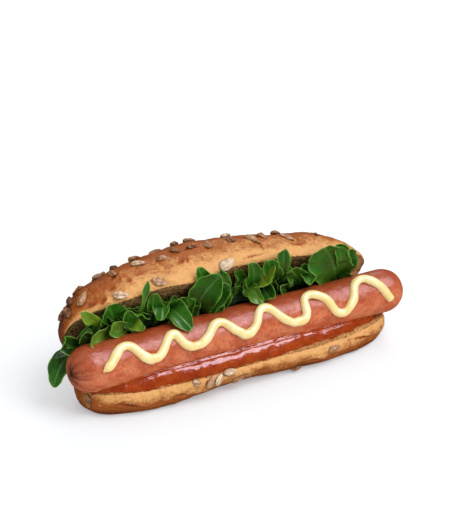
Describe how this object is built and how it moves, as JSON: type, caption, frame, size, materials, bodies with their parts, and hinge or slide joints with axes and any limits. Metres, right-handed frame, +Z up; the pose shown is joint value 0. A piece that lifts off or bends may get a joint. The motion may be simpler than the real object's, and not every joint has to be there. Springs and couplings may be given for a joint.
{
  "type": "hot dog",
  "caption": "Hinged, seeded whole-grain bun holding a long sausage with a mayonnaise zigzag, a bead of ketchup and a ruffle of green lettuce.",
  "frame": {"origin": "middle of the flat underside of the bun, on the surface it rests on", "axes": "+X along the bun and the sausage, -Y towards the open front of the bun, +Z up"},
  "size_m": [0.2141, 0.0725, 0.0697],
  "materials": {
    "bread": "matt baked crust with a soft sheen",
    "sausage": "moist smoked casing",
    "ketchup": "wet tomato sauce",
    "lettuce": "fresh glossy leaf"
  },
  "bodies": {
    "root": {"bun": "bread", "sausage": "sausage", "ketchup": "ketchup", "lettuce": "lettuce"}
  },
  "joints": []
}
